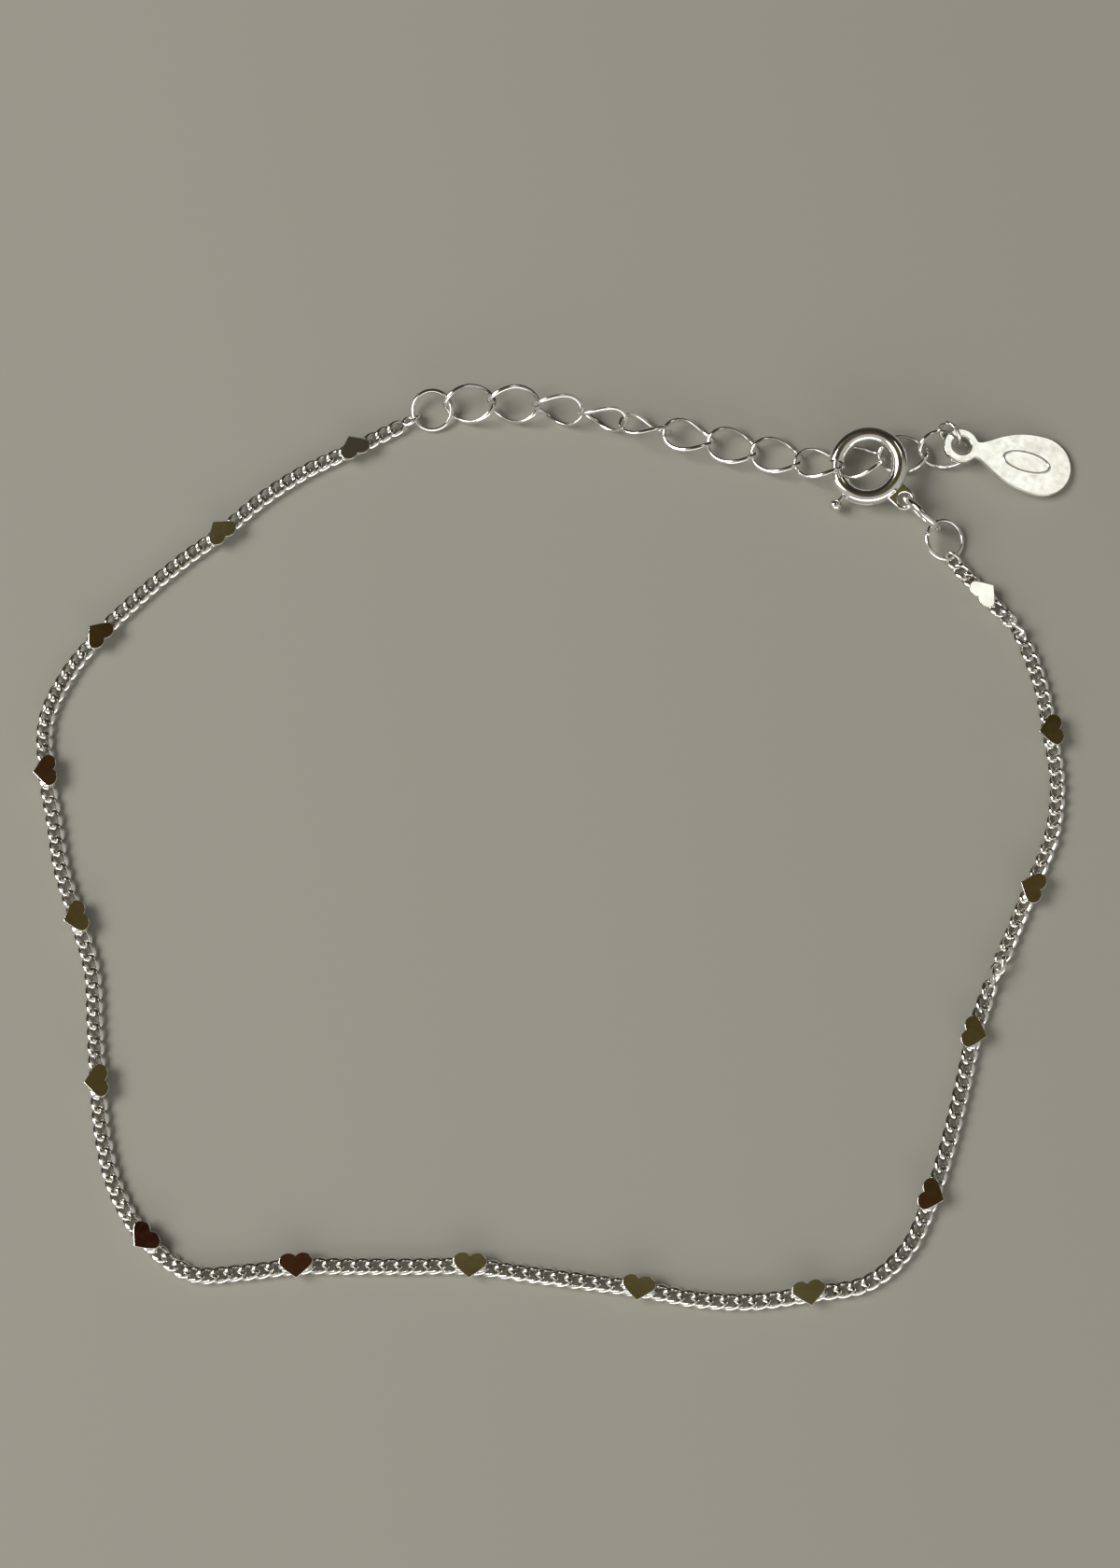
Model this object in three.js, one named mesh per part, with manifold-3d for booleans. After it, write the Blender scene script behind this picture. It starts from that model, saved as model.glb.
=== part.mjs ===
// A fine silver curb chain bracelet with flat heart stations, closed by a spring ring on its extender
// chain and lying as an open loop on a flat surface. Millimetres, +X right, +Y away, +Z up. The surface
// is z = 0, and the origin is the middle of the loop's outline.

import * as THREE from "three";
import { mergeVertices } from "three/addons/utils/BufferGeometryUtils.js";
import Module from "manifold-3d";

const wasm = await Module();
wasm.setup();

// Driving dimensions
const CHAIN = { width: 1.06, thickness: 0.56, flat: 0.46, steps: 78 };
const HEART = { along: 2, across: 1.44, notch: 0.78, thickness: 0.26, bevel: 0.04, bottom: 0.6 };
const LINK = { length: 3.46, width: 2.6, wire: 0.27, twist: 35, segments: 16, sides: 6 };
const END_LINK = { length: 1.34, width: 0.98, wire: 0.24, twist: 30, segments: 12, sides: 6 };
const JUMP_RING = { outer: 2.8, wire: 0.28, segments: 20, sides: 6 };
const TAG_RING = { outer: 1.9, wire: 0.26, segments: 16, sides: 6 };
const TAIL_RING = { outer: 3.26, wire: 0.46, segments: 20, sides: 8 };
const SPRING_RING = { outer: 5.08, tube: 1.05, wall: 0.14, segments: 36, sides: 12 };
const MOUTH = { from: 170, to: 205 };
const SLOT = { from: 225, to: 276, width: 0.44 };
const BOLT = { wire: 0.54, from: 164, to: 246, steps: 14, sides: 10 };
const TRIGGER = { angle: 230, reach: 3.22, stem: 0.32, knob: 0.84, knobHeight: 0.9, knobDepth: 0.78 };
const TAB = { angle: -45, reach: 3.2, radius: 0.68, hole: 0.86, thickness: 0.4 };
const TAG = {
  length: 7.22,
  width: 4.1,
  eye: 1.14,
  eyeEnd: 32,
  hole: 0.65,
  neck: 0.62,
  neckEnd: 1.3,
  thickness: 0.3,
  bevel: 0.05,
};

// The middle of the loop's outline, which becomes the origin
const OUTLINE_MIDDLE = { x: 0.034, y: 0.062 };

// Where the pieces of the fastening lie: the middle, the heading about Z, how far the end that they head
// for is raised, and the roll about that heading.
const LEFT_RING = { x: -8.16, y: 27.6, z: 0.6, heading: -0.5, rise: 2, roll: 17.5 };
const RIGHT_RING = { x: 24.22, y: 18.8, z: 0.69, heading: 47, rise: -9.5, roll: 20.5 };
const TAIL_PLACE = { x: 22.71, y: 20.19, z: 1.56, heading: -49, rise: 9, roll: 106 };
const CLASP_PLACE = { x: 19.44, y: 23.49, z: 1.42, heading: 84, rise: 10, roll: -9.5 };
const TAG_RING_PLACE = { x: 24.76, y: 25.84, z: 0.92, heading: 129, rise: -0.5, roll: 108 };
const TAG_PLACE = { x: 25.43, y: 24.97, z: 1.04, heading: -13, rise: -6.5, roll: -3.5 };
const LEFT_END_LINK = { x: -9.48, y: 27.03, z: 0.42, heading: 28.5, rise: -1, roll: -43.5 };
const RIGHT_END_LINK = { x: 24.75, y: 17.54, z: 0.37, heading: -54, rise: -1.5, roll: 33 };

// The heart stations, clockwise from the clasp: centre, the side that the tip points to (1 outwards),
// and how far the chain to the next heart bows outwards at one and two thirds of its way.
const HEARTS = [
  { x: 26.6, y: 15.3, tip: 1, bowA: 0.9, bowB: 0.8 },
  { x: 30.3, y: 6.3, tip: -1, bowA: 0.85, bowB: 0.85 },
  { x: 28.7, y: -3.6, tip: -1, bowA: -0.05, bowB: -0.15 },
  { x: 24.9, y: -12.6, tip: 1, bowA: 0.1, bowB: 0.15 },
  { x: 22.0, y: -22.3, tip: 1, bowA: 1.5, bowB: 1.6 },
  { x: 14.6, y: -28.0, tip: 1, bowA: 0.55, bowB: 0.5 },
  { x: 4.6, y: -27.7, tip: 1, bowA: 0, bowB: 0 },
  { x: -5.3, y: -26.4, tip: 1, bowA: 0, bowB: 0 },
  { x: -15.5, y: -26.4, tip: 1, bowA: 0.9, bowB: 1.5 },
  { x: -24.5, y: -24.8, tip: 1, bowA: 0.8, bowB: 0.65 },
  { x: -27.7, y: -15.5, tip: 1, bowA: -0.25, bowB: -0.5 },
  { x: -29.4, y: -5.5, tip: 1, bowA: 0.3, bowB: 0.15 },
  { x: -31.7, y: 3.7, tip: 1, bowA: 1.2, bowB: 1.0 },
  { x: -28.8, y: 12.6, tip: 1, bowA: 0.25, bowB: 0.25 },
  { x: -21.4, y: 19.4, tip: 1, bowA: 0.45, bowB: 0.45 },
  { x: -13.1, y: 25.1, tip: 1, bowA: 0, bowB: 0 },
];
const CHAIN_START = { x: 25.15, y: 16.97 };
const CHAIN_END = { x: -10.13, y: 26.66 };

// The route is sampled this finely, and a heart follows its run over so many samples to each side
const ROUTE_SAMPLES = 3000;
const HEART_REACH = 12;

// The extender's links from the left jump ring, placed in the same way
const LINKS = [
  { x: -5.74, y: 27.89, z: 0.93, heading: 2, rise: 7, roll: 25 },
  { x: -2.95, y: 27.84, z: 1.05, heading: -4, rise: 4, roll: 40 },
  { x: -0.15, y: 27.44, z: 1.25, heading: -10, rise: 2, roll: 69.5 },
  { x: 2.62, y: 26.85, z: 1.31, heading: -12, rise: 1, roll: 88 },
  { x: 5.4, y: 26.28, z: 1.16, heading: -9.5, rise: -5, roll: 128.5 },
  { x: 8.16, y: 25.73, z: 0.84, heading: -12, rise: -5, roll: 160 },
  { x: 10.95, y: 25.12, z: 0.64, heading: -13, rise: -3, roll: 174.5 },
  { x: 13.74, y: 24.49, z: 0.58, heading: -13, rise: 0.5, roll: 173 },
  { x: 16.47, y: 23.87, z: 0.77, heading: -9.5, rise: 7, roll: 154 },
  { x: 19, y: 24.08, z: 0.65, heading: 5, rise: 8.5, roll: 160 },
  { x: 21.76, y: 24.62, z: 0.59, heading: 11.5, rise: -4, roll: 192 },
  { x: 24.44, y: 24.98, z: 0.53, heading: -1, rise: -4, roll: 187 },
];

const SILVER = new THREE.Color(0.86, 0.86, 0.84);
const rad = THREE.MathUtils.degToRad;
const bracelet = new THREE.Group();
bracelet.name = "heart_bracelet";
const loop = new THREE.Group();
loop.position.set(-OUTLINE_MIDDLE.x, -OUTLINE_MIDDLE.y, 0);
bracelet.add(loop);

// Every piece is polished silver, in a material of its own
function addPiece(parent, name, geometry, roughness) {
  const material = new THREE.MeshStandardMaterial({ color: SILVER, metalness: 1, roughness });
  const mesh = new THREE.Mesh(geometry, material);
  mesh.name = name;
  parent.add(mesh);
  return mesh;
}

function twoDigits(number) {
  return String(number).padStart(2, "0");
}

// A closed geometry as a solid that can be cut and joined
function toSolid(geometry) {
  const bare = geometry.clone();
  bare.deleteAttribute("normal");
  bare.deleteAttribute("uv");
  const merged = mergeVertices(bare, 1e-4);
  const vertProperties = merged.attributes.position.array;
  const triVerts = new Uint32Array(merged.index.array);
  return new wasm.Manifold(new wasm.Mesh({ numProp: 3, vertProperties, triVerts }));
}

function toGeometry(solid) {
  const mesh = solid.getMesh();
  const geometry = new THREE.BufferGeometry();
  geometry.setAttribute("position", new THREE.BufferAttribute(mesh.vertProperties, 3));
  geometry.setIndex(new THREE.BufferAttribute(mesh.triVerts, 1));
  geometry.computeVertexNormals();
  return geometry;
}

// A group at a place, turned to its heading, then raised and rolled
function placed(place) {
  const group = new THREE.Group();
  group.position.set(place.x, place.y, place.z);
  group.rotation.set(rad(place.roll), rad(-place.rise), rad(place.heading), "ZYX");
  loop.add(group);
  return group;
}

function ringGeometry(ring) {
  return new THREE.TorusGeometry((ring.outer - ring.wire) / 2, ring.wire / 2, ring.sides, ring.segments);
}

// The centre line of a curb link: an oval along X whose plane turns from one end to the other
class LinkCurve extends THREE.Curve {
  constructor(link) {
    super();
    this.halfLength = (link.length - link.wire) / 2;
    this.halfWidth = (link.width - link.wire) / 2;
    this.twist = rad(link.twist);
  }

  getPoint(t, target = new THREE.Vector3()) {
    const angle = 2 * Math.PI * t;
    const across = this.halfWidth * Math.sin(angle);
    const turn = -this.twist * Math.cos(angle);
    return target.set(this.halfLength * Math.cos(angle), across * Math.cos(turn), across * Math.sin(turn));
  }
}

function linkGeometry(link) {
  return new THREE.TubeGeometry(new LinkCurve(link), link.segments, link.wire / 2, link.sides, true);
}

// The chain's route: through the hearts, bowed outwards between them
function chainCurve() {
  const points = [new THREE.Vector3(CHAIN_START.x, CHAIN_START.y, 0)];
  HEARTS.forEach((heart, i) => {
    const here = new THREE.Vector3(heart.x, heart.y, 0);
    points.push(here);
    const next = HEARTS[i + 1];
    if (!next) return;
    const step = new THREE.Vector3(next.x, next.y, 0).sub(here);
    const outwards = new THREE.Vector3(-step.y, step.x, 0).normalize();
    points.push(here.clone().addScaledVector(step, 1 / 3).addScaledVector(outwards, heart.bowA));
    points.push(here.clone().addScaledVector(step, 2 / 3).addScaledVector(outwards, heart.bowB));
  });
  points.push(new THREE.Vector3(CHAIN_END.x, CHAIN_END.y, 0));
  points.forEach((point) => (point.z = CHAIN.thickness / 2));
  return new THREE.CatmullRomCurve3(points, false, "centripetal");
}

// The chain's section, flat above and below, with its first axis up
function chainSection() {
  const high = CHAIN.thickness / 2;
  const wide = CHAIN.width / 2;
  const flat = CHAIN.flat / 2;
  const side = high * 0.4;
  const corners = [
    [high, -flat],
    [high, flat],
    [side, wide],
    [-side, wide],
    [-high, flat],
    [-high, -flat],
    [-side, -wide],
    [side, -wide],
  ];
  return new THREE.Shape(corners.map(([x, y]) => new THREE.Vector2(x, y)));
}

// A heart with its tip towards +Y and its lobes side by side along X
function heartShape() {
  const w = HEART.along / 2;
  const h = HEART.across / 2;
  const shape = new THREE.Shape();
  shape.moveTo(0, h);
  shape.bezierCurveTo(0.32 * w, 0.64 * h, 0.96 * w, 0.06 * h, w, -0.3 * h);
  shape.bezierCurveTo(w, -h, 0.35 * w, -1.3 * h, 0, -HEART.notch * h);
  shape.bezierCurveTo(-0.35 * w, -1.3 * h, -w, -h, -w, -0.3 * h);
  shape.bezierCurveTo(-0.96 * w, 0.06 * h, -0.32 * w, 0.64 * h, 0, h);
  return shape;
}

// A flat plate with bevelled edges, standing on z = 0
function plateGeometry(shape, plate, curveSegments) {
  const options = {
    depth: plate.thickness - 2 * plate.bevel,
    bevelThickness: plate.bevel,
    bevelSize: plate.bevel,
    bevelOffset: -plate.bevel,
    bevelSegments: 1,
    curveSegments,
  };
  return new THREE.ExtrudeGeometry(shape, options).translate(0, 0, plate.bevel);
}

// Each heart's turn about Z, from the way the chain runs through it
function heartTurns(curve) {
  const samples = curve.getSpacedPoints(ROUTE_SAMPLES);
  return HEARTS.map((heart) => {
    const centre = new THREE.Vector3(heart.x, heart.y, CHAIN.thickness / 2);
    const near = samples.reduce((best, p, i) =>
      p.distanceToSquared(centre) < samples[best].distanceToSquared(centre) ? i : best, 0);
    const from = samples[Math.max(near - HEART_REACH, 0)];
    const to = samples[Math.min(near + HEART_REACH, samples.length - 1)];
    const along = Math.atan2(to.y - from.y, to.x - from.x);
    return heart.tip > 0 ? along : along + Math.PI;
  });
}

// The chain, and the sixteen hearts that lie on it
function addHeartChain() {
  const curve = chainCurve();
  const options = { steps: CHAIN.steps, extrudePath: curve, bevelEnabled: false };
  addPiece(loop, "chain", new THREE.ExtrudeGeometry(chainSection(), options), 0.2);
  heartTurns(curve).forEach((turn, i) => {
    const geometry = plateGeometry(heartShape(), HEART, 5);
    const mesh = addPiece(loop, "heart_" + twoDigits(i + 1), geometry, 0.05);
    mesh.position.set(HEARTS[i].x, HEARTS[i].y, HEART.bottom);
    mesh.rotation.z = turn;
  });
}

// A wedge of the spring ring's plane between two angles
function wedgeGeometry(from, to, inner, outer, height) {
  const shape = new THREE.Shape();
  shape.absarc(0, 0, outer, rad(from), rad(to), false);
  shape.absarc(0, 0, inner, rad(to), rad(from), true);
  shape.closePath();
  const options = { depth: height, bevelEnabled: false, curveSegments: 8 };
  return new THREE.ExtrudeGeometry(shape, options).translate(0, 0, -height / 2);
}

// A round wire along an arc about Z
class ArcCurve extends THREE.Curve {
  constructor(radius, from, to) {
    super();
    this.radius = radius;
    this.from = rad(from);
    this.to = rad(to);
  }

  getPoint(t, target = new THREE.Vector3()) {
    const angle = this.from + (this.to - this.from) * t;
    return target.set(this.radius * Math.cos(angle), this.radius * Math.sin(angle), 0);
  }
}

function circleShape(radius, sides) {
  const corners = [];
  for (let i = 0; i < sides; i++) {
    const angle = (2 * Math.PI * i) / sides;
    corners.push(new THREE.Vector2(radius * Math.cos(angle), radius * Math.sin(angle)));
  }
  return new THREE.Shape(corners);
}

// The hollow ring with its mouth, its slot for the trigger and the tab that holds the tail ring
function springRingGeometry() {
  const middle = (SPRING_RING.outer - SPRING_RING.tube) / 2;
  const outside = SPRING_RING.tube / 2;
  const { sides, segments, wall } = SPRING_RING;
  const bore = toSolid(new THREE.TorusGeometry(middle, outside - wall, sides, segments));
  const mouth = toSolid(wedgeGeometry(MOUTH.from, MOUTH.to, middle - 1, middle + 1, 2));
  const slot = toSolid(wedgeGeometry(SLOT.from, SLOT.to, middle, middle + 1, SLOT.width));
  const stem = new THREE.BoxGeometry(TAB.reach - middle, 2 * TAB.radius, TAB.thickness);
  stem.translate((TAB.reach + middle) / 2, 0, 0);
  const eye = new THREE.CylinderGeometry(TAB.radius, TAB.radius, TAB.thickness, 16);
  eye.rotateX(Math.PI / 2).translate(TAB.reach, 0, 0);
  const hole = new THREE.CylinderGeometry(TAB.hole / 2, TAB.hole / 2, 1, 12);
  hole.rotateX(Math.PI / 2).translate(TAB.reach, 0, 0);
  const tab = toSolid(stem).add(toSolid(eye)).rotate([0, 0, TAB.angle]);
  const ring = toSolid(new THREE.TorusGeometry(middle, outside, sides, segments)).add(tab);
  const body = ring.subtract(toSolid(hole).rotate([0, 0, TAB.angle])).subtract(bore);
  return toGeometry(body.subtract(mouth).subtract(slot));
}

// The curved bolt that slides in the ring, with the stem and the knob that a fingernail pulls
function boltGeometry() {
  const middle = (SPRING_RING.outer - SPRING_RING.tube) / 2;
  const path = new ArcCurve(middle, BOLT.from, BOLT.to);
  const options = { steps: BOLT.steps, extrudePath: path, bevelEnabled: false };
  const arc = new THREE.ExtrudeGeometry(circleShape(BOLT.wire / 2, BOLT.sides), options);
  const length = TRIGGER.reach - middle;
  const stem = new THREE.CylinderGeometry(TRIGGER.stem / 2, TRIGGER.stem / 2, length, 8);
  stem.rotateZ(Math.PI / 2).translate(middle + length / 2, 0, 0);
  const knob = new THREE.SphereGeometry(TRIGGER.knob / 2, 12, 8);
  knob.scale(TRIGGER.knobDepth / TRIGGER.knob, 1, TRIGGER.knobHeight / TRIGGER.knob);
  knob.translate(TRIGGER.reach, 0, 0);
  const trigger = toSolid(stem).add(toSolid(knob)).rotate([0, 0, TRIGGER.angle]);
  return toGeometry(toSolid(arc).add(trigger));
}

function addClasp() {
  const group = placed(CLASP_PLACE);
  const level = new THREE.Group();
  level.rotation.z = rad(-CLASP_PLACE.heading);
  group.add(level);
  addPiece(level, "spring_ring", springRingGeometry(), 0.08);
  addPiece(level, "clasp_bolt", boltGeometry(), 0.1);
}

// The teardrop tag, with its eye at the origin and its body along +X
function tagGeometry() {
  const half = TAG.width / 2;
  const wide = TAG.length - half;
  const shape = new THREE.Shape();
  const eyeEnd = rad(TAG.eyeEnd);
  const eyeX = TAG.eye * Math.cos(eyeEnd);
  const eyeY = TAG.eye * Math.sin(eyeEnd);
  shape.absarc(0, 0, TAG.eye, eyeEnd, -eyeEnd, false);
  shape.bezierCurveTo(1.06, -0.56, 1.16, -0.57, TAG.neckEnd, -TAG.neck);
  shape.bezierCurveTo(2.2, -1.08, 3, -half, wide, -half);
  shape.absarc(wide, 0, half, -Math.PI / 2, Math.PI / 2, false);
  shape.bezierCurveTo(3, half, 2.2, 1.08, TAG.neckEnd, TAG.neck);
  shape.bezierCurveTo(1.16, 0.57, 1.06, 0.56, eyeX, eyeY);
  const hole = new THREE.Path();
  hole.absarc(0, 0, TAG.hole, 0, 2 * Math.PI, true);
  shape.holes.push(hole);
  return plateGeometry(shape, TAG, 8).translate(0, 0, -TAG.thickness / 2);
}

addHeartChain();
addPiece(placed(LEFT_END_LINK), "end_link_left", linkGeometry(END_LINK), 0.12);
addPiece(placed(RIGHT_END_LINK), "end_link_right", linkGeometry(END_LINK), 0.12);
addPiece(placed(LEFT_RING), "jump_ring_left", ringGeometry(JUMP_RING), 0.1);
LINKS.forEach((place, i) => {
  addPiece(placed(place), "extender_link_" + twoDigits(i + 1), linkGeometry(LINK), 0.12);
});
addPiece(placed(TAG_RING_PLACE), "tag_ring", ringGeometry(TAG_RING), 0.1);
addPiece(placed(TAG_PLACE), "tag", tagGeometry(), 0.06);
addClasp();
addPiece(placed(TAIL_PLACE), "tail_ring", ringGeometry(TAIL_RING), 0.08);
addPiece(placed(RIGHT_RING), "jump_ring_right", ringGeometry(JUMP_RING), 0.1);

export default bracelet;
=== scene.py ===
# The silver heart bracelet dressed with real curb links, round wire and polished plates, lying on a plain
# pale surface. Sizes in the tables are millimetres; Blender's own units are metres.

import math
import random

import bpy
from mathutils import Euler, Matrix, Vector


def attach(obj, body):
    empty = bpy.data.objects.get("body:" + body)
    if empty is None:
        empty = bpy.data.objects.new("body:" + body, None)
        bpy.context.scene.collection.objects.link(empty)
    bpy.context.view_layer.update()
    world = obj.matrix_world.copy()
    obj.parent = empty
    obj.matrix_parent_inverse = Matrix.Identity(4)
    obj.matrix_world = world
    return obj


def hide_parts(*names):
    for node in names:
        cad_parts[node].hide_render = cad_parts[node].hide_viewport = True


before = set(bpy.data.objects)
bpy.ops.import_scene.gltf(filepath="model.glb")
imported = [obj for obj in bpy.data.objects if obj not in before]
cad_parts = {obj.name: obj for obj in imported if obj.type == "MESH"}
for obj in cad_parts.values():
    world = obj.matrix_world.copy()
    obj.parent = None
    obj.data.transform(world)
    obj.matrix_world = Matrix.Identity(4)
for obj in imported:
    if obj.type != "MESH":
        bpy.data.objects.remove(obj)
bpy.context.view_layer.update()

MM = 0.001
OUTLINE_MIDDLE = (0.034, 0.062)

# The camera, over the near edge of the loop and tilted away from straight down, its clip start in metres
CAMERA = {"x": 0, "y": -40.9, "z": 164.1, "tilt": 15, "lens": 63.2, "film": 36, "clip": 0.01}

# The links: each end of a link turns by the twist in degrees, a fullness of 2 is an ellipse, and the wire
# gets thinner outwards by the wedge
CHAIN_LINK = {"length": 1.42, "width": 1.07, "wire": 0.27, "wedge": 0.35, "twist": 44,
              "fullness": 2.2, "steps": 28, "sides": 10}
END_LINK = {"length": 1.34, "width": 0.98, "wire": 0.24, "wedge": 0, "twist": 30,
            "fullness": 2, "steps": 32, "sides": 12}
LINK = {"length": 3.46, "width": 2.6, "wire": 0.27, "wedge": 0.4, "twist": 35,
        "fullness": 2, "steps": 56, "sides": 14}

# The fine chain: how far its links slant, their pitch, the height of their middles, how far they run on past
# the ends of the route, and how much each sways in degrees
CHAIN_SLANT = 0.3
CHAIN_PITCH = 0.833
CHAIN_MIDDLE = 0.29
CHAIN_OVERRUN = 0.12
CHAIN_SWAY = 2.5
CHAIN_SEED = 4
ROUTE_STEPS = 60

# The rings, with the place of each seam and half its width in degrees
JUMP_RING = {"outer": 2.8, "wire": 0.28, "wedge": 0.4, "seam": 150}
TAG_RING = {"outer": 1.9, "wire": 0.26, "wedge": 0, "seam": 200}
TAIL_RING = {"outer": 3.26, "wire": 0.46, "wedge": 0, "seam": 20}
RING_SEAM = 0.5
RING_STEPS = 64
RING_SIDES = 16

# The hearts, how much each leans in degrees, and the solder under their lobes
HEART = {"along": 2, "across": 1.44, "notch": 0.78, "thickness": 0.26, "bevel": 0.03, "bottom": 0.6}
HEART_LEAN = 1.6
HEART_SEED = 9
SOLDER = {"radius": 0.34, "height": 0.26, "apart": 0.62, "sunk": 0.04, "rows": 8, "columns": 14}

# The clasp, with its angles in degrees about its own axis
SPRING_RING = {"outer": 5.08, "tube": 1.05, "wall": 0.14}
MOUTH = {"from": 170, "to": 205}
SLOT = {"from": 225, "to": 276, "width": 0.44}
BOLT = {"wire": 0.54, "from": 164, "to": 246, "steps": 40, "sides": 18}
TRIGGER = {"angle": 230, "reach": 3.22, "stem": 0.32, "sides": 16}
KNOB = {"depth": 0.78, "width": 0.84, "height": 0.9, "rows": 16, "columns": 28}
TAB = {"angle": -45, "reach": 3.2, "radius": 0.68, "hole": 0.86, "thickness": 0.4, "bevel": 0.08,
       "steps": 32}
CLASP_MIDDLE = (SPRING_RING["outer"] - SPRING_RING["tube"]) / 2
SHELL_TURN = 3.5
SHELL_SECTION = 12
SLOT_TOLERANCE = 0.01

# The teardrop tag: its eye ends at an angle in degrees, its neck at a distance from the eye's middle. The
# handles shape the curves of its lower side.
TAG = {"length": 7.22, "width": 4.1, "eye": 1.14, "eye_end": 32, "hole": 0.65, "neck": 0.62,
       "neck_end": 1.3, "thickness": 0.3, "bevel": 0.06}
NECK_HANDLES = [(1.06, -0.56), (1.16, -0.57)]
SIDE_HANDLES = [(2.2, -1.08), (3, -TAG["width"] / 2)]
OVAL = {"middle": 4.3, "along": 1.5, "across": 0.66, "wire": 0.2, "sunk": 0.055, "steps": 72,
        "sides": 12}

# How finely outlines and rounded edges are divided, and the angles in degrees from which an edge is sharp
CURVE_STEPS = 14
ARC_STEPS = 40
BEVEL_STEPS = 3
SHARP_EDGE = 40
SHARP_PLATE_EDGE = 50

# Where the pieces lie: x, y, z, heading about Z, how far the far end is raised, roll about the heading
PLACES = {
    "jump_ring_left": (-8.16, 27.6, 0.6, -0.5, 2, 17.5),
    "jump_ring_right": (24.22, 18.8, 0.69, 47, -9.5, 20.5),
    "tail_ring": (22.71, 20.19, 1.56, -49, 9, 106),
    "clasp": (19.44, 23.49, 1.42, 84, 10, -9.5),
    "tag_ring": (24.76, 25.84, 0.92, 129, -0.5, 108),
    "tag": (25.43, 24.97, 1.04, -13, -6.5, -3.5),
    "end_link_left": (-9.48, 27.03, 0.42, 28.5, -1, -43.5),
    "end_link_right": (24.75, 17.54, 0.37, -54, -1.5, 33),
}
LINKS = [
    (-5.74, 27.89, 0.93, 2, 7, 25),
    (-2.95, 27.84, 1.05, -4, 4, 40),
    (-0.15, 27.44, 1.25, -10, 2, 69.5),
    (2.62, 26.85, 1.31, -12, 1, 88),
    (5.4, 26.28, 1.16, -9.5, -5, 128.5),
    (8.16, 25.73, 0.84, -12, -5, 160),
    (10.95, 25.12, 0.64, -13, -3, 174.5),
    (13.74, 24.49, 0.58, -13, 0.5, 173),
    (16.47, 23.87, 0.77, -9.5, 7, 154),
    (19, 24.08, 0.65, 5, 8.5, 160),
    (21.76, 24.62, 0.59, 11.5, -4, 192),
    (24.44, 24.98, 0.53, -1, -4, 187),
]

# The heart stations, clockwise from the clasp: x, y, the side that the tip points to (1 outwards), and how
# far the chain to the next heart bows outwards at one and two thirds of its way
HEARTS = [
    (26.6, 15.3, 1, 0.9, 0.8),
    (30.3, 6.3, -1, 0.85, 0.85),
    (28.7, -3.6, -1, -0.05, -0.15),
    (24.9, -12.6, 1, 0.1, 0.15),
    (22.0, -22.3, 1, 1.5, 1.6),
    (14.6, -28.0, 1, 0.55, 0.5),
    (4.6, -27.7, 1, 0, 0),
    (-5.3, -26.4, 1, 0, 0),
    (-15.5, -26.4, 1, 0.9, 1.5),
    (-24.5, -24.8, 1, 0.8, 0.65),
    (-27.7, -15.5, 1, -0.25, -0.5),
    (-29.4, -5.5, 1, 0.3, 0.15),
    (-31.7, 3.7, 1, 1.2, 1.0),
    (-28.8, 12.6, 1, 0.25, 0.25),
    (-21.4, 19.4, 1, 0.45, 0.45),
    (-13.1, 25.1, 1, 0, 0),
]
CHAIN_START = (25.15, 16.97)
CHAIN_END = (-10.13, 26.66)

# The first heart, counted from 0, leans with the turn in its chain: degrees about the chain's line and
# about the line across it
LEANING_HEARTS = {0: (-6, 3.5)}

# The runs in which the chain turns half over: after which heart, counted from 0, the share of the way to the
# next heart, and the run's length
HALF_TWISTS = [(0, 0.3, 3.6), (2, 0.6, 3.6)]

# The silver's textures: the scale and detail of each noise, and how deep dents and scratches are
TARNISH_NOISE = (900, 3)
POLISH_NOISE = (2500, 4)
DENT_NOISE = (1300, 2)
SCRATCH_NOISE = (6000, 3)
EVEN = (1, 1, 1)
LENGTHWISE = (1, 0.12, 1)
DENT_DEPTH = 0.02
SCRATCH_DEPTH = 0.002
TARNISH_SHADE = (0.9, 0.88, 0.84)
TARNISH_RANGE = (0.35, 0.6)
POLISH_RANGE = (0.3, 0.7)
POLISH_SPREAD = (0.7, 1.5)

# The surface, its half side in metres
FLOOR = {"half": 1, "color": (0.37, 0.362, 0.317), "roughness": 0.9}

# The lamps, in metres: the place, the size, the power and the colour
LAMPS = {
    "window": ((-0.45, 0.02, 0.42), (0.4, 0.3), 2.85, (1, 0.98, 0.94)),
    "near_side": ((0, -0.55, 0.2), (1, 0.22), 1.3, (1, 0.99, 0.96)),
    "far_side": ((0.225, 0.215, 0.45), (0.16, 0.14), 0.076, (0.98, 1, 0.93)),
}
LAMP_TARGET = (0, 0, 0)

# The room: the ceiling's patches, the walls from the near side to the far one, and where they meet
CEILING = ((0.28, (0.012, 0.003, 0.002)), (0.35, (0.05, 0.014, 0.008)), (0.4, (0.032, 0.021, 0.005)),
           (0.5, (0.07, 0.053, 0.018)), (0.62, (0.13, 0.115, 0.055)))
WALLS = ((0, (0.5, 0.5, 0.47)), (0.52, (0.34, 0.34, 0.32)), (0.66, (0.07, 0.07, 0.065)),
         (0.78, (0.015, 0.015, 0.013)), (1, (0.06, 0.06, 0.055)))
CEILING_EDGE = (0.9, 0.935)
CEILING_PATCHES = {"scale": 10, "detail": 1}


# Geometry


def turned(angle, axis="Z"):
    return Matrix.Rotation(math.radians(angle), 4, axis)


def placed(place):
    """A place from the tables as a matrix, with the outline's middle moved to the origin."""
    x, y, z, heading, rise, roll = place
    middle = Matrix.Translation((x - OUTLINE_MIDDLE[0], y - OUTLINE_MIDDLE[1], z))
    return middle @ turned(heading) @ turned(-rise, "Y") @ turned(roll, "X")


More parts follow.
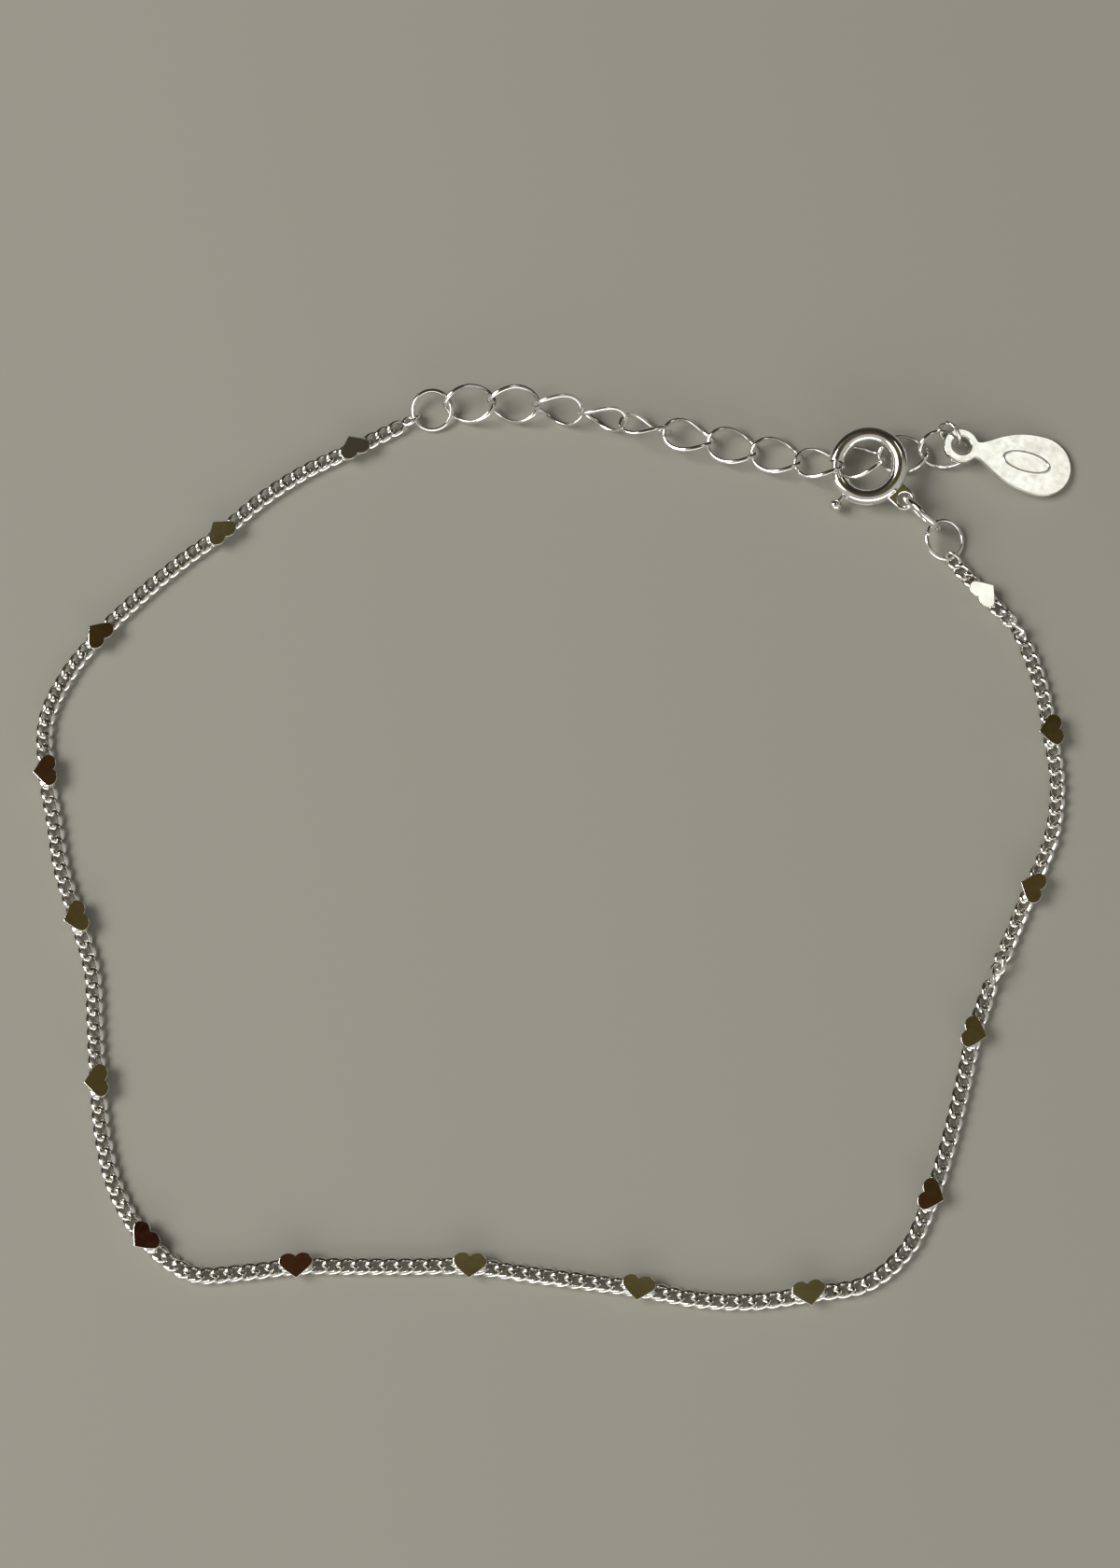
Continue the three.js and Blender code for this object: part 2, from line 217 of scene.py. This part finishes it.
def tube(points, radius, sides, closed, wedge=0):
    """A wire along points that go round the origin, thinner outwards by the wedge, as vertices and faces."""
    count = len(points)
    vertices = []
    for i, point in enumerate(points):
        before = points[i - 1] if closed or i else points[0]
        after = points[(i + 1) % count] if closed or i + 1 < count else points[-1]
        along = (after - before).normalized()
        outwards = (point - along * point.dot(along)).normalized()
        across = along.cross(outwards)
        for k in range(sides):
            angle = 2 * math.pi * k / sides
            height = math.sin(angle) * (1 - wedge * math.cos(angle))
            vertices.append(point + radius * (math.cos(angle) * outwards + height * across))
    faces = []
    for i in range(count if closed else count - 1):
        here, there = i * sides, (i + 1) % count * sides
        for k in range(sides):
            n = (k + 1) % sides
            faces.append((here + k, there + k, there + n, here + n))
    if not closed:
        faces.append(tuple(range(sides)))
        faces.append(tuple(range((count - 1) * sides, count * sides))[::-1])
    return vertices, faces


def link_points(link):
    """The centre line of a curb link along X, whose plane turns from one end to the other."""
    half_length = (link["length"] - link["wire"]) / 2
    half_width = (link["width"] - link["wire"]) / 2
    power = 2 / link["fullness"]
    points = []
    for i in range(link["steps"]):
        angle = 2 * math.pi * i / link["steps"]
        along = math.copysign(abs(math.cos(angle)) ** power, math.cos(angle))
        across = half_width * math.copysign(abs(math.sin(angle)) ** power, math.sin(angle))
        turn = -math.radians(link["twist"]) * math.cos(angle)
        points.append(Vector((half_length * along, across * math.cos(turn), across * math.sin(turn))))
    return points


def link_tube(link):
    return tube(link_points(link), link["wire"] / 2, link["sides"], True, link["wedge"])


def arc_points(radius, start, end, steps):
    angles = [math.radians(start + (end - start) * i / steps) for i in range(steps + 1)]
    return [Vector((radius * math.cos(a), radius * math.sin(a), 0)) for a in angles]


def ring_tube(ring):
    """A jump ring, bent round until its two cut ends meet."""
    middle = (ring["outer"] - ring["wire"]) / 2
    start = ring["seam"] + RING_SEAM
    end = ring["seam"] + 360 - RING_SEAM
    points = arc_points(middle, start, end, RING_STEPS)
    return tube(points, ring["wire"] / 2, RING_SIDES, False, ring["wedge"])


def ellipsoid(centre, radii, rows, columns):
    """An ellipsoid from rows between its poles and columns round them, as vertices and faces."""
    vertices = [Vector((0, 0, radii[2])) + centre]
    for i in range(1, rows):
        polar = math.pi * i / rows
        flat = math.sin(polar)
        for k in range(columns):
            angle = 2 * math.pi * k / columns
            x = radii[0] * flat * math.cos(angle)
            y = radii[1] * flat * math.sin(angle)
            vertices.append(Vector((x, y, radii[2] * math.cos(polar))) + centre)
    vertices.append(Vector((0, 0, -radii[2])) + centre)
    last = len(vertices) - 1
    faces = []
    for k in range(columns):
        n = (k + 1) % columns
        faces.append((0, 1 + k, 1 + n))
        faces.append((last, last - columns + n, last - columns + k))
        for i in range(rows - 2):
            row = 1 + i * columns
            faces.append((row + k, row + columns + k, row + columns + n, row + n))
    return vertices, faces


def joined(shapes):
    """Several vertex and face lists as one."""
    vertices, faces = [], []
    for more_vertices, more_faces in shapes:
        first = len(vertices)
        vertices += more_vertices
        faces += [tuple(first + i for i in face) for face in more_faces]
    return vertices, faces


def moved(shape, matrix):
    vertices, faces = shape
    return [matrix @ v for v in vertices], faces


def bezier(points, steps):
    """Points along a chain of cubic curves, without the last one."""
    outline = []
    for i in range(0, len(points) - 1, 3):
        a, b, c, d = (Vector(p) for p in points[i:i + 4])
        for k in range(steps):
            t = k / steps
            s = 1 - t
            outline.append(s ** 3 * a + 3 * s * s * t * b + 3 * s * t * t * c + t ** 3 * d)
    return outline


def arc_outline(x, radius, start, end, steps):
    """Points in the plane on an arc about a point on the X axis."""
    angles = [math.radians(start + (end - start) * i / steps) for i in range(steps + 1)]
    return [Vector((x + radius * math.cos(a), radius * math.sin(a))) for a in angles]


def plate(outlines, size):
    """A flat plate between the outlines with rounded edges, centred on z = 0, as vertices and faces."""
    curve = bpy.data.curves.new("plate", "CURVE")
    curve.dimensions = "2D"
    curve.fill_mode = "BOTH"
    curve.extrude = size["thickness"] / 2 - size["bevel"]
    curve.bevel_depth = size["bevel"]
    curve.bevel_resolution = BEVEL_STEPS
    curve.offset = -size["bevel"]
    for outline in outlines:
        spline = curve.splines.new("POLY")
        spline.points.add(len(outline) - 1)
        for point, corner in zip(spline.points, outline):
            point.co = (corner[0], corner[1], 0, 1)
        spline.use_cyclic_u = True
    holder = bpy.data.objects.new("plate", curve)
    mesh = bpy.data.meshes.new_from_object(holder)
    vertices = [v.co.copy() for v in mesh.vertices]
    faces = [tuple(p.vertices) for p in mesh.polygons]
    bpy.data.objects.remove(holder)
    bpy.data.curves.remove(curve)
    bpy.data.meshes.remove(mesh)
    return vertices, faces


def add_piece(name, shape, material, nodes, body="bracelet", sharp=SHARP_EDGE):
    """A piece in the place of the named nodes, from vertices and faces in millimetres."""
    vertices, faces = shape
    mesh = bpy.data.meshes.new(name)
    mesh.from_pydata([v * MM for v in vertices], [], faces)
    mesh.validate()
    mesh.shade_smooth()
    mesh.set_sharp_from_angle(angle=math.radians(sharp))
    mesh.materials.append(material)
    piece = bpy.data.objects.new(name, mesh)
    bpy.context.scene.collection.objects.link(piece)
    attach(piece, body)
    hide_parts(*nodes)
    return piece


# Materials


def silver(name, color, roughness, scratches, dents):
    """Polished silver with fine wiping scratches, soft handling dents and a faint uneven tarnish."""
    material = bpy.data.materials.new(name)
    material.use_nodes = True
    nodes = material.node_tree.nodes
    links = material.node_tree.links
    shader = nodes["Principled BSDF"]
    shader.inputs["Metallic"].default_value = 1
    place = nodes.new("ShaderNodeTexCoord")

    def noise(scale, detail, stretch=EVEN):
        mapping = nodes.new("ShaderNodeMapping")
        mapping.inputs["Scale"].default_value = stretch
        links.new(place.outputs["Object"], mapping.inputs["Vector"])
        texture = nodes.new("ShaderNodeTexNoise")
        texture.inputs["Scale"].default_value = scale
        texture.inputs["Detail"].default_value = detail
        links.new(mapping.outputs["Vector"], texture.inputs["Vector"])
        return texture.outputs["Fac"]

    def bump(height, strength, distance, under):
        node = nodes.new("ShaderNodeBump")
        node.inputs["Strength"].default_value = strength
        node.inputs["Distance"].default_value = distance * MM
        links.new(height, node.inputs["Height"])
        if under:
            links.new(under, node.inputs["Normal"])
        return node.outputs["Normal"]

    tarnish = nodes.new("ShaderNodeValToRGB")
    dull, bright = tarnish.color_ramp.elements
    dull.position, bright.position = TARNISH_RANGE
    dull.color = (*(c * shade for c, shade in zip(color, TARNISH_SHADE)), 1)
    bright.color = (*color, 1)
    links.new(noise(*TARNISH_NOISE), tarnish.inputs["Fac"])
    links.new(tarnish.outputs["Color"], shader.inputs["Base Color"])

    polish = nodes.new("ShaderNodeMapRange")
    polish.inputs["From Min"].default_value = POLISH_RANGE[0]
    polish.inputs["From Max"].default_value = POLISH_RANGE[1]
    polish.inputs["To Min"].default_value = roughness * POLISH_SPREAD[0]
    polish.inputs["To Max"].default_value = roughness * POLISH_SPREAD[1]
    links.new(noise(*POLISH_NOISE), polish.inputs["Value"])
    links.new(polish.outputs["Result"], shader.inputs["Roughness"])

    soft = bump(noise(*DENT_NOISE), dents, DENT_DEPTH, None)
    fine = bump(noise(*SCRATCH_NOISE, LENGTHWISE), scratches, SCRATCH_DEPTH, soft)
    links.new(fine, shader.inputs["Normal"])
    return material


WIRE_SILVER = silver("wire_silver", (0.93, 0.92, 0.9), roughness=0.1, scratches=0.12, dents=0.08)
CHAIN_SILVER = silver("chain_silver", (0.93, 0.91, 0.88), roughness=0.12, scratches=0.2, dents=0.15)
HEART_SILVER = silver("heart_silver", (0.9, 0.89, 0.86), roughness=0.05, scratches=0.08, dents=0.06)
CLASP_SILVER = silver("clasp_silver", (0.92, 0.91, 0.89), roughness=0.09, scratches=0.06, dents=0.05)
TAG_SILVER = silver("tag_silver", (0.95, 0.94, 0.91), roughness=0.14, scratches=0.12, dents=0.1)


# The fine chain


def route_point(points, i, t):
    """A point on the centripetal Catmull-Rom curve through the points, in the span after point i."""
    first = points[i - 1] if i > 0 else 2 * points[0] - points[1]
    last = points[i + 2] if i + 2 < len(points) else 2 * points[-1] - points[-2]
    p = [first, points[i], points[i + 1], last]
    before, between, after = ((p[k + 1] - p[k]).length ** 0.5 for k in range(3))
    middle = (p[2] - p[1]) / between
    start = ((p[1] - p[0]) / before - (p[2] - p[0]) / (before + between) + middle) * between
    end = (middle - (p[3] - p[1]) / (between + after) + (p[3] - p[2]) / after) * between
    rest = 2 * p[1] - 2 * p[2] + start + end
    bend = -3 * p[1] + 3 * p[2] - 2 * start - end
    return p[1] + start * t + bend * t * t + rest * t ** 3


def chain_route():
    """Close points along the chain, and for each heart the number of its point."""
    points = [Vector(CHAIN_START)]
    for i, (x, y, _, bow_a, bow_b) in enumerate(HEARTS):
        here = Vector((x, y))
        points.append(here)
        if i + 1 < len(HEARTS):
            step = Vector(HEARTS[i + 1][:2]) - here
            outwards = Vector((-step.y, step.x)).normalized()
            points.append(here + step / 3 + outwards * bow_a)
            points.append(here + step * 2 / 3 + outwards * bow_b)
    points.append(Vector(CHAIN_END))
    route = []
    for i in range(len(points) - 1):
        route += [route_point(points, i, k / ROUTE_STEPS) for k in range(ROUTE_STEPS)]
    stations = [(1 + 3 * i) * ROUTE_STEPS for i in range(len(HEARTS))]
    return route + [points[-1]], stations


class Route:
    """The chain's way over the surface, by its length."""

    def __init__(self):
        self.points, stations = chain_route()
        self.lengths = [0]
        for a, b in zip(self.points, self.points[1:]):
            self.lengths.append(self.lengths[-1] + (b - a).length)
        self.hearts = [self.lengths[i] for i in stations]

    def at(self, length):
        """The point and the heading in radians at a length along the chain."""
        i = 0
        while i < len(self.points) - 2 and self.lengths[i + 1] < length:
            i += 1
        a, b = self.points[i], self.points[i + 1]
        share = (length - self.lengths[i]) / (self.lengths[i + 1] - self.lengths[i])
        return a + (b - a) * share, math.atan2(b.y - a.y, b.x - a.x)


def half_turns(route, length):
    """How many half turns the chain has made by this length."""
    turns = 0
    for heart, share, run in HALF_TWISTS:
        middle = route.hearts[heart] + share * (route.hearts[heart + 1] - route.hearts[heart])
        t = min(max((length - middle) / run + 0.5, 0), 1)
        turns += t * t * (3 - 2 * t)
    return turns


def add_chain(route):
    """The curb links from end to end in one mesh, spread evenly between hearts, and the two last links."""
    random.seed(CHAIN_SEED)
    slanted = [Vector((p.x + CHAIN_SLANT * p.y, p.y, p.z)) for p in link_points(CHAIN_LINK)]
    link = tube(slanted, CHAIN_LINK["wire"] / 2, CHAIN_LINK["sides"], True, CHAIN_LINK["wedge"])
    stops = [-CHAIN_OVERRUN] + route.hearts + [route.lengths[-1] + CHAIN_OVERRUN]
    shapes = []
    for start, end in zip(stops, stops[1:]):
        count = round((end - start) / CHAIN_PITCH)
        for i in range(count):
            length = start + (end - start) * (i + 0.5) / count
            point, heading = route.at(length)
            roll = math.pi * half_turns(route, length)
            lift = abs(math.sin(roll)) * (CHAIN_LINK["width"] / 2 - CHAIN_MIDDLE)
            x, y = point.x - OUTLINE_MIDDLE[0], point.y - OUTLINE_MIDDLE[1]
            sway = [math.radians(random.uniform(-CHAIN_SWAY, CHAIN_SWAY)) for _ in range(2)]
            turn = Euler((roll + sway[0], 0, heading + sway[1])).to_matrix().to_4x4()
            shapes.append(moved(link, Matrix.Translation((x, y, CHAIN_MIDDLE + lift)) @ turn))
    add_piece("curb_chain", joined(shapes), CHAIN_SILVER, ["chain"])
    for side in ("left", "right"):
        node = "end_link_" + side
        shape = moved(link_tube(END_LINK), placed(PLACES[node]))
        add_piece("last_link_" + side, shape, CHAIN_SILVER, [node])


# The hearts


def heart_outline():
    """The heart's outline with its tip towards +Y, from curves in shares of its half width and height."""
    w = HEART["along"] / 2
    h = HEART["across"] / 2
    points = [
        (0, h), (0.32 * w, 0.64 * h), (0.96 * w, 0.06 * h), (w, -0.3 * h),
        (w, -h), (0.35 * w, -1.3 * h), (0, -HEART["notch"] * h),
        (-0.35 * w, -1.3 * h), (-w, -h), (-w, -0.3 * h),
        (-0.96 * w, 0.06 * h), (-0.32 * w, 0.64 * h), (0, h),
    ]
    return bezier(points, CURVE_STEPS)


def add_hearts(route):
    """The polished hearts, each soldered on the links under its lobes, and none quite level."""
    random.seed(HEART_SEED)
    flat = plate([heart_outline()], HEART)
    solder_height = -HEART["thickness"] / 2 - SOLDER["height"] / 2 + SOLDER["sunk"]
    solder_radii = (SOLDER["radius"], SOLDER["radius"], SOLDER["height"] / 2)
    solder = []
    for side in (-1, 1):
        centre = Vector((side * SOLDER["apart"], 0, solder_height))
        solder.append(ellipsoid(centre, solder_radii, SOLDER["rows"], SOLDER["columns"]))
    for i, length in enumerate(route.hearts):
        point, heading = route.at(length)
        if HEARTS[i][2] < 0:
            heading += math.pi
        x, y = point.x - OUTLINE_MIDDLE[0], point.y - OUTLINE_MIDDLE[1]
        lean = [a + random.uniform(-HEART_LEAN, HEART_LEAN) for a in LEANING_HEARTS.get(i, (0, 0))]
        tilt = Euler((math.radians(lean[0]), math.radians(lean[1]), heading)).to_matrix().to_4x4()
        place = Matrix.Translation((x, y, HEART["bottom"] + HEART["thickness"] / 2))
        shape = moved(joined([flat, *solder]), place @ tilt)
        name = "%02d" % (i + 1)
        add_piece("polished_heart_" + name, shape, HEART_SILVER, ["heart_" + name],
                  sharp=SHARP_PLATE_EDGE)


# The extender, the rings and the tag


def add_extender():
    for i, place in enumerate(LINKS):
        name = "%02d" % (i + 1)
        shape = moved(link_tube(LINK), placed(place))
        add_piece("wire_link_" + name, shape, WIRE_SILVER, ["extender_link_" + name])
    rings = (("jump_ring_left", JUMP_RING), ("jump_ring_right", JUMP_RING), ("tag_ring", TAG_RING),
             ("tail_ring", TAIL_RING))
    for node, ring in rings:
        shape = moved(ring_tube(ring), placed(PLACES[node]))
        add_piece("wire_" + node, shape, WIRE_SILVER, [node])


def tag_outline():
    """The teardrop's outline: round the eye, down the lower side, round the broad end and back."""
    half = TAG["width"] / 2
    wide = TAG["length"] - half
    eye_x = TAG["eye"] * math.cos(math.radians(TAG["eye_end"]))
    eye_y = TAG["eye"] * math.sin(math.radians(TAG["eye_end"]))
    lower = [(eye_x, -eye_y), *NECK_HANDLES, (TAG["neck_end"], -TAG["neck"]), *SIDE_HANDLES, (wide, -half)]
    upper = [(x, -y) for x, y in reversed(lower)]
    eye = arc_outline(0, TAG["eye"], TAG["eye_end"], 360 - TAG["eye_end"], ARC_STEPS)[:-1]
    end = arc_outline(wide, half, -90, 90, ARC_STEPS)[:-1]
    return eye + bezier(lower, CURVE_STEPS) + end + bezier(upper, CURVE_STEPS)


def tag_oval():
    """The plain oval that stands out a little on the tag's face."""
    height = TAG["thickness"] / 2 - OVAL["sunk"]
    circle = arc_points(1, 0, 360, OVAL["steps"])[:-1]
    points = [Vector((OVAL["along"] * p.x, OVAL["across"] * p.y, 0)) for p in circle]
    line = tube(points, OVAL["wire"] / 2, OVAL["sides"], True)
    return moved(line, Matrix.Translation((OVAL["middle"], 0, height)))


def add_tag():
    hole = arc_outline(0, TAG["hole"], 360, 0, ARC_STEPS)[:-1]
    flat = plate([tag_outline(), hole], TAG)
    shape = moved(joined([flat, tag_oval()]), placed(PLACES["tag"]))
    add_piece("teardrop_tag", shape, TAG_SILVER, ["tag"], sharp=SHARP_PLATE_EDGE)


# The clasp


def clasp_place():
    """The clasp's place, with its own angles counted from the frame's X."""
    heading = PLACES["clasp"][3]
    return placed(PLACES["clasp"]) @ turned(-heading)


def steps_between(stops, length):
    """Values that pass through the stops, with steps of about the length between them."""
    values = []
    for start, end in zip(stops, stops[1:]):
        count = max(round((end - start) / length), 1)
        values += [start + (end - start) * i / count for i in range(count)]
    return values + [stops[-1]]


def shell():
    """The hollow ring's wall with its mouth and its slot, from an outer and an inner skin."""
    outer = SPRING_RING["tube"] / 2
    inner = outer - SPRING_RING["wall"]
    open_angle = math.degrees(math.asin(SLOT["width"] / 2 / outer))
    turns = steps_between([MOUTH["to"], SLOT["from"], SLOT["to"], MOUTH["from"] + 360], SHELL_TURN)
    sections = steps_between([-open_angle, open_angle, 360 - open_angle], SHELL_SECTION)[:-1]
    columns = len(sections)

    def number(skin, i, k):
        return (skin * len(turns) + i) * columns + k % columns

    def is_open(i, k):
        in_slot = sections[k % columns] < open_angle - SLOT_TOLERANCE
        return SLOT["from"] <= turns[i] < SLOT["to"] and in_slot

    vertices = []
    for radius in (outer, inner):
        for turn in turns:
            for section in sections:
                out = CLASP_MIDDLE + radius * math.cos(math.radians(section))
                angle = math.radians(turn)
                height = radius * math.sin(math.radians(section))
                vertices.append(Vector((out * math.cos(angle), out * math.sin(angle), height)))
    faces = []
    spans = len(turns) - 1
    for i in range(spans):
        for k in range(columns):
            if is_open(i, k):
                continue
            skin = [number(0, i, k), number(0, i + 1, k), number(0, i + 1, k + 1), number(0, i, k + 1)]
            under = [v + len(turns) * columns for v in skin]
            faces.append(tuple(skin))
            faces.append(tuple(reversed(under)))
            edges = (
                (i == 0 or is_open(i - 1, k), 3, 0),
                (i == spans - 1 or is_open(i + 1, k), 1, 2),
                (is_open(i, k - 1), 0, 1),
                (is_open(i, k + 1), 2, 3),
            )
            for is_edge, a, b in edges:
                if is_edge:
                    faces.append((skin[b], skin[a], under[a], under[b]))
    return vertices, faces


def tab_outline():
    """The tab's outline, from inside the ring's wall out to its round end."""
    start = CLASP_MIDDLE + SPRING_RING["tube"] / 4
    corners = [Vector((start, TAB["radius"])), Vector((start, -TAB["radius"]))]
    return corners + arc_outline(TAB["reach"], TAB["radius"], -90, 90, TAB["steps"])


def trigger():
    """The bolt's stem and the knob that a fingernail pulls."""
    start, end = Vector((CLASP_MIDDLE, 0, 0)), Vector((TRIGGER["reach"], 0, 0))
    radius = TRIGGER["stem"] / 2
    sides = TRIGGER["sides"]
    angles = [2 * math.pi * k / sides for k in range(sides)]
    circle = [Vector((0, radius * math.cos(a), radius * math.sin(a))) for a in angles]
    faces = [(k, (k + 1) % sides, sides + (k + 1) % sides, sides + k) for k in range(sides)]
    stem = ([start + c for c in circle] + [end + c for c in circle], faces)
    radii = (KNOB["depth"] / 2, KNOB["width"] / 2, KNOB["height"] / 2)
    knob = ellipsoid(end, radii, KNOB["rows"], KNOB["columns"])
    return moved(joined([stem, knob]), turned(TRIGGER["angle"]))


def add_clasp():
    place = clasp_place()
    hole = arc_outline(TAB["reach"], TAB["hole"] / 2, 360, 0, TAB["steps"])[:-1]
    tab = moved(plate([tab_outline(), hole], TAB), turned(TAB["angle"]))
    ring = moved(joined([shell(), tab]), place)
    add_piece("hollow_ring", ring, CLASP_SILVER, ["spring_ring"])
    points = arc_points(CLASP_MIDDLE, BOLT["from"], BOLT["to"], BOLT["steps"])
    arc = tube(points, BOLT["wire"] / 2, BOLT["sides"], False)
    bolt = moved(joined([arc, trigger()]), place)
    add_piece("sprung_bolt", bolt, CLASP_SILVER, ["clasp_bolt"], "bolt")


# The surface, the light and the camera


def add_floor():
    mesh = bpy.data.meshes.new("floor")
    half = FLOOR["half"]
    corners = [(-half, -half, 0), (half, -half, 0), (half, half, 0), (-half, half, 0)]
    mesh.from_pydata(corners, [], [(0, 1, 2, 3)])
    material = bpy.data.materials.new("pale_floor")
    material.use_nodes = True
    shader = material.node_tree.nodes["Principled BSDF"]
    shader.inputs["Base Color"].default_value = (*FLOOR["color"], 1)
    shader.inputs["Roughness"].default_value = FLOOR["roughness"]
    mesh.materials.append(material)
    floor = bpy.data.objects.new("floor", mesh)
    bpy.context.scene.collection.objects.link(floor)


def add_area_light(name, place, size, power, color):
    light = bpy.data.lights.new(name, "AREA")
    light.shape = "RECTANGLE"
    light.size, light.size_y = size
    light.energy = power
    light.color = color
    lamp = bpy.data.objects.new(name, light)
    lamp.location = place
    lamp.rotation_euler = (Vector(LAMP_TARGET) - Vector(place)).to_track_quat("-Z", "Y").to_euler()
    bpy.context.scene.collection.objects.link(lamp)


def add_world():
    """A dim room, brown and olive overhead, with grey walls that darken towards the far side."""
    world = bpy.data.worlds.new("room")
    world.use_nodes = True
    bpy.context.scene.world = world
    nodes = world.node_tree.nodes
    links = world.node_tree.links

    def ramp(value, colors):
        node = nodes.new("ShaderNodeValToRGB")
        elements = node.color_ramp.elements
        elements[0].position, elements[-1].position = colors[0][0], colors[-1][0]
        elements[0].color, elements[-1].color = (*colors[0][1], 1), (*colors[-1][1], 1)
        for position, color in colors[1:-1]:
            elements.new(position).color = (*color, 1)
        links.new(value, node.inputs["Fac"])
        return node.outputs["Color"]

    def share(value, start, end):
        node = nodes.new("ShaderNodeMapRange")
        node.inputs["From Min"].default_value = start
        node.inputs["From Max"].default_value = end
        links.new(value, node.inputs["Value"])
        return node.outputs["Result"]

    place = nodes.new("ShaderNodeTexCoord")
    axes = nodes.new("ShaderNodeSeparateXYZ")
    links.new(place.outputs["Generated"], axes.inputs["Vector"])
    patches = nodes.new("ShaderNodeTexNoise")
    patches.inputs["Scale"].default_value = CEILING_PATCHES["scale"]
    patches.inputs["Detail"].default_value = CEILING_PATCHES["detail"]
    links.new(place.outputs["Generated"], patches.inputs["Vector"])
    mix = nodes.new("ShaderNodeMix")
    mix.data_type = "RGBA"
    links.new(share(axes.outputs["Z"], *CEILING_EDGE), mix.inputs["Factor"])
    links.new(ramp(share(axes.outputs["Y"], -1, 1), WALLS), mix.inputs["A"])
    links.new(ramp(patches.outputs["Fac"], CEILING), mix.inputs["B"])
    links.new(mix.outputs["Result"], nodes["Background"].inputs["Color"])
    nodes["Background"].inputs["Strength"].default_value = 1


def add_camera():
    camera = bpy.data.cameras.new("camera")
    camera.sensor_fit = "VERTICAL"
    camera.sensor_height = CAMERA["film"]
    camera.lens = CAMERA["lens"]
    camera.clip_start = CAMERA["clip"]
    viewer = bpy.data.objects.new("camera", camera)
    x, y = CAMERA["x"] - OUTLINE_MIDDLE[0], CAMERA["y"] - OUTLINE_MIDDLE[1]
    viewer.location = Vector((x, y, CAMERA["z"])) * MM
    viewer.rotation_euler = (math.radians(CAMERA["tilt"]), 0, 0)
    bpy.context.scene.collection.objects.link(viewer)
    bpy.context.scene.camera = viewer
    bpy.context.scene.view_settings.view_transform = "Standard"


add_camera()
add_world()
add_floor()
for lamp_name, lamp_settings in LAMPS.items():
    add_area_light(lamp_name, *lamp_settings)
chain_way = Route()
add_chain(chain_way)
add_hearts(chain_way)
add_extender()
add_tag()
add_clasp()

bpy.context.view_layer.update()
